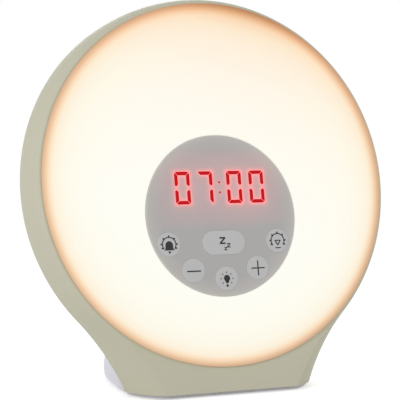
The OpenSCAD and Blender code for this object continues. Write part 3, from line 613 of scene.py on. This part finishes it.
profile = []
for i in range(EDGE_ROWS + 1):
    a = math.pi / 2 * i / EDGE_ROWS
    profile.append((DIFFUSER_R + LAP - EDGE_W * (1 - math.sin(a)), FACE_D + EDGE_D * (1 - math.cos(a))))
profile += [(DIFFUSER_R, -LAP_ROOM), (DIFFUSER_R, SEAT), (DIFFUSER_R - DIFFUSER_T, SEAT)]
inside_r = EDGE_R - DIFFUSER_T
for i in range(INSIDE_ROWS + 1):
    a = math.pi / 2 * (1 - i / INSIDE_ROWS)
    profile.append((DIFFUSER_R - EDGE_R + inside_r * math.sin(a), FACE_D + EDGE_R - inside_r * math.cos(a)))

# The middle of the front and of the back come first, and then a ring for each point of the profile
verts = [world(0, 0, FACE_D), world(0, 0, FACE_D + DIFFUSER_T)]
verts += [world(x, y, d) for r, d in profile for x, y in disc(r, steps=ROUND_STEPS)]
first, last = 2, 2 + (len(profile) - 1) * ROUND_STEPS
faces = quads(len(profile), ROUND_STEPS, base=first, around=True)
for i in range(ROUND_STEPS):
    nxt = (i + 1) % ROUND_STEPS
    faces += [(0, first + i, first + nxt), (1, last + nxt, last + i)]
opal = mesh_object("diffuser_disc", verts, faces)
carve(opal, tube("panel_hole", [
    bar(PANEL_R + PANEL_GAP, FACE_D - PAST, FACE_D + DIFFUSER_T + PAST, (0, PANEL_V))], 192),
      "DIFFERENCE", OPAL_SMOOTH)
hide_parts("diffuser")
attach(dress(opal, glow), "clock")


# ---- Flat pieces on the face: prisms of outlines ----

def prisms(name, shapes, front_d, back_d, look, body, at=(0, 0)):
    """A piece that rides on a body: outlines drawn out between two depths behind the rim."""
    verts, faces = [], []
    for shape in shapes:
        faces += prism_faces(len(verts), len(shape))
        for d in (front_d, back_d):
            verts += [world(at[0] + x, at[1] + y, d) for x, y in shape]
    obj = mesh_object(name, verts, faces, FACE_SMOOTH)
    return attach(dress(obj, look), body)


def line(a, b, w, w2=None):
    """A stroke from a to b, as wide as w, or narrowing to w2."""
    w2 = w if w2 is None else w2
    dx, dy = b[0] - a[0], b[1] - a[1]
    k = math.hypot(dx, dy)
    nx, ny = -dy / k / 2, dx / k / 2
    return [(a[0] + nx * w, a[1] + ny * w), (a[0] - nx * w, a[1] - ny * w),
            (b[0] - nx * w2, b[1] - ny * w2), (b[0] + nx * w2, b[1] + ny * w2)]


def arc(r, a, b, w, steps=24, at=(0, 0)):
    """Part of a ring as wide as w, from the angle a to b, as short quads."""
    parts = []
    for i in range(steps):
        s, t = (math.radians(a + (b - a) * k / steps) for k in (i, i + 1))
        parts.append([(at[0] + q * math.cos(x), at[1] + q * math.sin(x))
                      for q, x in ((r - w / 2, s), (r + w / 2, s), (r + w / 2, t), (r - w / 2, t))])
    return parts


def ray(angle, r0, r1, w, w2, at=(0, 0)):
    """A stroke that points away from a place, from r0 to r1."""
    c, s = math.cos(math.radians(angle)), math.sin(math.radians(angle))
    return line((at[0] + r0 * c, at[1] + r0 * s), (at[0] + r1 * c, at[1] + r1 * s), w, w2)


def letter_z(x, y, h, w, t):
    """Three strokes of a Z, as thick as t, its middle at x, y."""
    a, b, slant = w / 2, h / 2, 1.35 * t
    return [[(x - a, y + b - t), (x + a, y + b - t), (x + a, y + b), (x - a, y + b)],
            [(x - a, y - b), (x + a, y - b), (x + a, y - b + t), (x - a, y - b + t)],
            [(x - a, y - b + t), (x - a + slant, y - b + t), (x + a, y + b - t), (x + a - slant, y + b - t)]]


# ---- Keys and their marks ----

KEYS = {
    "alarm_key": (-OUTER_U, PANEL_V - UPPER_DROP), "snooze_key": (0, PANEL_V - UPPER_DROP),
    "sunset_key": (OUTER_U, PANEL_V - UPPER_DROP), "minus_key": (-LOWER_U, PANEL_V - LOWER_DROP),
    "plus_key": (LOWER_U, PANEL_V - LOWER_DROP), "light_key": (0, PANEL_V - LIGHT_DROP)}

# A sun behind the alarm's bell and round the sunset's arrow, and a bulb with rays
sun = [*arc(3.5, -38, 218, 0.5), *[ray(a, 3.55, 4.5, 1.0, 0.4) for a in (90, 45, 135, 2, 178, -27, 207)]]
BELL_MID, BELL_R = -0.3, 1.95
dome = [(BELL_R * math.cos(math.radians(a)), BELL_MID + BELL_R * math.sin(math.radians(a)))
        for a in range(180, -1, -12)]
bell = [(-2.0, -1.9), *dome, (2.0, -1.9), (2.7, -2.8), (-2.7, -2.8)]
clapper = disc(0.55, (0, -3.75), 16)
arrow = [line((-1.6, 0.1), (1.6, 0.1), 0.5), line((-1.4, 0.1), (0, -2.2), 0.55),
         line((1.4, 0.1), (0, -2.2), 0.55)]
horizon = arc(4.2, 250, 290, 0.5, 12, (0, 0.6))
bulb = [disc(1.62, (0, 0.1)), [(-1.1, -0.9), (1.1, -0.9), (0.62, -2.35), (-0.62, -2.35)],
        disc(0.62, (0, -3.5), 16)]
beams = [ray(a, 2.75, 3.45, 0.5, 0.36, (0, -0.1)) for a in (90, 45, 135, 0, 180, -42, 222)]
ICONS = {
    "alarm_key": [*sun, bell, clapper],
    "snooze_key": [*letter_z(-0.8, 1.0, 3.45, 3.0, 0.78), *letter_z(2.3, -1.45, 2.1, 1.9, 0.52),
                   *letter_z(0.6, -3.0, 1.6, 1.4, 0.42)],
    "sunset_key": [*sun, *arrow, *horizon],
    "minus_key": [line((-3.6, -0.25), (3.6, -0.25), 0.66)],
    "plus_key": [line((-3.55, 0), (3.55, 0), 0.6), line((0, 3.65), (0, -3.65), 0.6)],
    "light_key": [*bulb, *beams]}


def key_cap(name, at):
    """A key's cap with a round edge, its flange and its stem."""
    straight = SNOOZE / 2 if name == "snooze_key" else 0
    cap_r, flange_d = KEY_R + SNUG, FACE_D + PANEL_T + FLANGE_ROOM
    flange_r, flange_back = KEY_R + FLANGE, flange_d + FLANGE_T
    # Rings from the front to the back: radius, depth and half the straight part
    rings = []
    for i in range(CAP_ROWS + 1):
        a = math.pi / 2 * i / CAP_ROWS
        rings.append((cap_r - CROWN * (1 - math.sin(a)), KEY_D + PROUD * (1 - math.cos(a)), straight))
    rings += [(cap_r, flange_d, straight), (flange_r, flange_d, straight), (flange_r, flange_back, straight),
              (STEM_R, flange_back, 0), (STEM_R, flange_back + STEM, 0)]
    verts = [world(at[0] + x + math.copysign(long, x), at[1] + y, d)
             for r, d, long in rings for x, y in disc(r, steps=CAP_STEPS, shift=0.5)]
    last = (len(rings) - 1) * CAP_STEPS
    faces = quads(len(rings), CAP_STEPS, around=True)
    faces += [tuple(range(CAP_STEPS)), tuple(last + i for i in reversed(range(CAP_STEPS)))]
    return mesh_object(name + "_cap", verts, faces, FACE_SMOOTH)


for name, at in KEYS.items():
    prisms(name + "_mark", ICONS[name], KEY_D - MARK_OUT, KEY_D + MARK_IN, ink, name, at)
for name, at in KEYS.items():
    cap = key_cap(name, at)
    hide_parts(name)
    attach(dress(cap, key_plastic), name)

# ---- Digits ----

# The lit strokes of each digit: a at the top, then on round to f at the upper left
DIGITS = ("abcdef", "abc", "abcdef", "abcdef")
digits_v = PANEL_V + DIGITS_UP


def segment(name, u):
    """One stroke of a digit whose middle is at u: slanting ends, a gap to the next, a trimmed corner."""
    wide, high, trim = DIGIT_W / 2, DIGIT_H / 2, TRIM / 2
    if name in "ad":
        points = [(TRIM - wide, high), (wide - TRIM, high), (wide - trim - MITRE, high - trim),
                  (wide - STROKE - MITRE, high - STROKE), (STROKE + MITRE - wide, high - STROKE),
                  (trim + MITRE - wide, high - trim)]
    else:
        points = [(wide, high - TRIM), (wide, WAIST + STROKE / 4), (wide - STROKE / 2, WAIST),
                  (wide - STROKE, WAIST + STROKE / 2), (wide - STROKE, high - STROKE - MITRE),
                  (wide - trim, high - trim - MITRE)]
    sx, sy = (-1 if name in "ef" else 1), (-1 if name in "cde" else 1)
    return [(u + sx * a, digits_v + sy * b) for a, b in points]


places = [DIGITS_RIGHT + pair * PAIR / 2 + digit * PITCH / 2 for pair in (-1, 1) for digit in (-1, 1)]
strokes = [segment(name, u) for u, names in zip(places, DIGITS) for name in names]
dots = [disc(DOT_R, (DIGITS_RIGHT - DOT_LEFT, digits_v + s * DOT_UP), 20) for s in (-1, 1)]
prisms("lit_digits", strokes + dots, FACE_D - DIGIT_OUT, FACE_D + DIGIT_IN, lit, "clock")

# The window carries a painted red glow, the digits' light that the milky panel spreads round each stroke:
# half its size, its cells, and the width over which it fades out
WINDOW_W, WINDOW_H, CELL, FADE = 36.0, 20.5, 0.3, 4.0
# The red close to a stroke and far from it, each with the distance over which it falls away
CLOSE, CLOSE_MM, HAZE, HAZE_MM = 0.64, 0.7, 0.034, 7.5
DOT_CLOSE, BRIGHTEST = 0.2, 0.9
columns, rows = (int(2 * size / CELL) + 1 for size in (WINDOW_W, WINDOW_H))
grid_u, grid_v = np.meshgrid(np.linspace(-WINDOW_W, WINDOW_W, columns) + DIGITS_RIGHT,
                             np.linspace(-WINDOW_H, WINDOW_H, rows) + digits_v)


def distance(shape):
    """Distance of the grid's points from a convex shape."""
    away, within = np.full(grid_u.shape, np.inf), np.full(grid_u.shape, True)
    sides = list(zip(shape, shape[1:] + shape[:1]))
    turn = math.copysign(1, sum(a[0] * b[1] - b[0] * a[1] for a, b in sides))
    for (ax, ay), (bx, by) in sides:
        ex, ey = bx - ax, by - ay
        t = np.clip(((grid_u - ax) * ex + (grid_v - ay) * ey) / (ex * ex + ey * ey), 0, 1)
        away = np.minimum(away, np.hypot(grid_u - ax - t * ex, grid_v - ay - t * ey))
        within &= (ex * (grid_v - ay) - ey * (grid_u - ax)) * turn >= 0
    return np.where(within, 0, away)


red = sum(DOT_CLOSE * np.exp(-distance(shape) / CLOSE_MM) for shape in dots)
for off in map(distance, strokes):
    red += CLOSE * np.exp(-off / CLOSE_MM) + HAZE * np.exp(-off / HAZE_MM)
fade = (np.clip((WINDOW_W - np.abs(grid_u - DIGITS_RIGHT)) / FADE, 0, 1)
        * np.clip((WINDOW_H - np.abs(grid_v - digits_v)) / FADE, 0, 1))
on_panel = (np.hypot(grid_u, grid_v - PANEL_V) < PANEL_R - 2 * CELL).ravel()
verts = [world(float(u), float(v), FACE_D - WINDOW_OUT) for u, v in zip(grid_u.flat, grid_v.flat)]
faces = [f for f in quads(rows, columns) if all(on_panel[i] for i in f)]
lit_window = mesh_object("display_window", verts, faces, FACE_SMOOTH)
attribute = lit_window.data.attributes.new("spread", "FLOAT", "POINT")
attribute.data.foreach_set("value", (np.clip(red, 0, BRIGHTEST) * fade).ravel().astype(np.float32))
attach(dress(lit_window, window), "clock")

# ---- The power inlet's pin ----

pin = tube("inlet_pin", [
    (PIN_R, upright(0, mouth_y - INLET_LONG, INLET_Z), upright(0, mouth_y - PIN_IN, INLET_Z))], 32)
mod = pin.modifiers.new("round", "BEVEL")
mod.width, mod.segments, mod.limit_method = PIN_ROUND * MM, 3, "ANGLE"
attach(dress(pin, steel), "clock")

# ---- Screws that show: the solids' own, with a cross cut into each head ----

ARM = [(CROSS_SLIM, CROSS_SLIM), (CROSS_SLIM, CROSS_LONG), (-CROSS_SLIM, CROSS_LONG)]
# The arm's points turned by each quarter
PLUS = [(x * c - y * s, x * s + y * c) for c, s in ((1, 0), (0, 1), (-1, 0), (0, -1)) for x, y in ARM]
# Points no farther than this from the tip, in metres, belong to the head's flat end
HEAD_FLAT = 1e-5


def loose_parts(bm):
    """The vertices of each part of a mesh that hangs together, in an order that stays the same."""
    left, parts = dict.fromkeys(bm.verts), []
    while left:
        part, reached = [], [left.popitem()[0]]
        while reached:
            v = reached.pop()
            part.append(v)
            for other in (e.other_vert(v) for e in v.link_edges):
                if other in left:
                    del left[other]
                    reached.append(other)
        parts.append(part)
    return parts


def with_crosses(name, outward, side):
    """A node's screws, whose heads face outward, each with a cross in its head."""
    node = nodes[name]
    made = bpy.data.objects.new(name + "_cross_heads", node.data.copy())
    made.matrix_world = node.matrix_world.copy()
    bpy.context.scene.collection.objects.link(made)
    over = outward.cross(side)
    bm = bmesh.new()
    bm.from_mesh(made.data)
    bmesh.ops.remove_doubles(bm, verts=bm.verts, dist=1e-6)
    verts, faces = [], []
    for part in loose_parts(bm):
        screw = [made.matrix_world @ v.co for v in part]
        tip = max(p.dot(outward) for p in screw)
        head = [p for p in screw if p.dot(outward) > tip - HEAD_FLAT]
        middle = sum(head, Vector()) / len(head)
        faces += prism_faces(len(verts), len(PLUS))
        for depth in (CROSS_DEEP / 2, -CROSS_DEEP):
            verts += [middle + (side * a + over * b + outward * depth) * MM for a, b in PLUS]
    bm.free()
    carve(made, mesh_object("crosses", verts, faces), "DIFFERENCE", SHELL_SMOOTH)
    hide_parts(name)
    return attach(dress(made, steel), "clock")


with_crosses("base_screws", Vector((0, 0, -1)), Vector((1, 0, 0)))
with_crosses("rear_screws", Vector((0, COS, -SIN)), Vector((1, 0, 0)))

# ---- The solids that stay ----

LOOKS = {
    "base_plate": base_plastic, "display_panel": panel, "display_cup": white, "display_module": black,
    "digit_segments": lit, "key_board": board, "key_switches": black, "reflector": white,
    "led_board": board_white, "led_emitters": emitter, "chassis": white, "chassis_screws": steel,
    "main_board": board, "main_board_parts": black, "board_screws": steel, "display_cable": ribbon,
    "speaker_grille": pale, "speaker_frame": steel, "speaker_cone": cone, "speaker_magnet": steel,
    "speaker_gasket": foam, "power_inlet": black, "cell_holder": black, "cell_contact": contact,
    "coin_cell": steel, "battery_cover": base_plastic, "rubber_feet": rubber}
for name, look in LOOKS.items():
    dress(nodes[name], look)

# ---- Floor: pale round the clock, with its shadow, and plain white farther away, in metres ----

FLOOR_HALF, PALE_TO, WHITE_FROM = 30, 0.25, 0.9
FLOOR_GREY, FLOOR_LIFT = 0.84, 0.47


def seen_by(tree):
    """1 for a camera, glossy or transmission ray, and 0 for the rays that light the object."""
    path = tree.nodes.new("ShaderNodeLightPath")
    value = path.outputs["Is Camera Ray"]
    for kind in ("Is Glossy Ray", "Is Transmission Ray"):
        either = tree.nodes.new("ShaderNodeMath")
        either.operation = "MAXIMUM"
        tree.links.new(value, either.inputs[0])
        tree.links.new(path.outputs[kind], either.inputs[1])
        value = either.outputs[0]
    return value


corners = [(x * FLOOR_HALF, y * FLOOR_HALF, 0) for x, y in ((-1, -1), (1, -1), (1, 1), (-1, 1))]
stage = mesh_object("floor", corners, [(0, 1, 2, 3)])
floor = Look("floor", (FLOOR_GREY, FLOOR_GREY, FLOOR_GREY, 1), 0.95, Specular_IOR_Level=0.0,
             Emission_Color=(1, 1, 1, 1))
greys = [(grey, grey, grey, 1) for grey in (FLOOR_GREY - 0.01, FLOOR_GREY + 0.01)]
floor.base(floor.mix("MIX", floor.noise(scale=3, detail=2), *greys))
looked_at = seen_by(floor.t)
floor.link(floor.math("MULTIPLY", looked_at, FLOOR_LIFT), floor.s.inputs["Emission Strength"])
away = floor.node("ShaderNodeVectorMath", operation="LENGTH")
floor.link(floor.where, away.inputs[0])
far = floor.node("ShaderNodeMapRange", interpolation_type="SMOOTHSTEP")
floor.link(away.outputs["Value"], far.inputs["Value"])
far.inputs["From Min"].default_value, far.inputs["From Max"].default_value = PALE_TO, WHITE_FROM
plain = floor.node("ShaderNodeEmission")
blend = floor.node("ShaderNodeMixShader")
floor.link(floor.math("MULTIPLY", far.outputs["Result"], looked_at), blend.inputs[0])
floor.link(floor.s.outputs[0], blend.inputs[1])
floor.link(plain.outputs[0], blend.inputs[2])
floor.link(blend.outputs[0], floor.t.nodes["Material Output"].inputs["Surface"])
dress(stage, floor)

# ---- Sky: white to the camera, and soft light on the clock ----

SOFT_LIGHT = 0.56

scene = bpy.context.scene
scene.view_settings.view_transform = "Standard"
sky = bpy.data.worlds.new("studio")
sky.use_nodes = True
scene.world = sky
tree = sky.node_tree
tree.nodes.clear()
out = tree.nodes.new("ShaderNodeOutputWorld")
pick = tree.nodes.new("ShaderNodeMixShader")
tree.links.new(seen_by(tree), pick.inputs[0])
for i, strength in ((1, SOFT_LIGHT), (2, 1.0)):
    light = tree.nodes.new("ShaderNodeBackground")
    light.inputs["Color"].default_value, light.inputs["Strength"].default_value = (1, 1, 1, 1), strength
    tree.links.new(light.outputs[0], pick.inputs[i])
tree.links.new(pick.outputs[0], out.inputs["Surface"])

# ---- Lamps: round ones, aimed at the middle of the clock, in metres and watts ----

LAMP_AIM, LAMP_SIZE = Vector((0, 0, 0.1)), 0.9
LAMPS = {"key_light": ((-1.38, -0.68, 0.6), 9.2), "fill_light": ((1.1, -0.7, 0.6), 3.0),
         "back_light": ((0.5, 1.3, 0.6), 5.5)}
for name, (place, power) in LAMPS.items():
    data = bpy.data.lights.new(name, "AREA")
    data.shape, data.size, data.energy = "DISK", LAMP_SIZE, power
    obj = bpy.data.objects.new(name, data)
    scene.collection.objects.link(obj)
    obj.location = place
    obj.rotation_euler = (LAMP_AIM - Vector(place)).to_track_quat("-Z", "Y").to_euler()

# ---- Camera: to the clock's left and a little above level, as in the photograph ----

YAW, PITCH_DOWN = math.radians(23.06), math.radians(3.45)
# Where it sees the middle of the face: to the right of its axis, down from it and away
MIDDLE_RIGHT, MIDDLE_DOWN, MIDDLE_AWAY = 8.72, -8.66, 734.2
LENS, SENSOR = 135, 36

right = Vector((math.cos(YAW), -math.sin(YAW), 0))
forward = Vector((math.sin(YAW) * math.cos(PITCH_DOWN), math.cos(YAW) * math.cos(PITCH_DOWN),
                  -math.sin(PITCH_DOWN)))
down = forward.cross(right)
place = world(0, 0, 0) - (right * MIDDLE_RIGHT + down * MIDDLE_DOWN + forward * MIDDLE_AWAY) * MM
data = bpy.data.cameras.new("camera")
data.lens, data.sensor_width = LENS, SENSOR
camera = bpy.data.objects.new("camera", data)
camera.matrix_world = Matrix((
    (right.x, -down.x, -forward.x, place.x), (right.y, -down.y, -forward.y, place.y),
    (right.z, -down.z, -forward.z, place.z), (0, 0, 0, 1)))
scene.collection.objects.link(camera)
scene.camera = camera
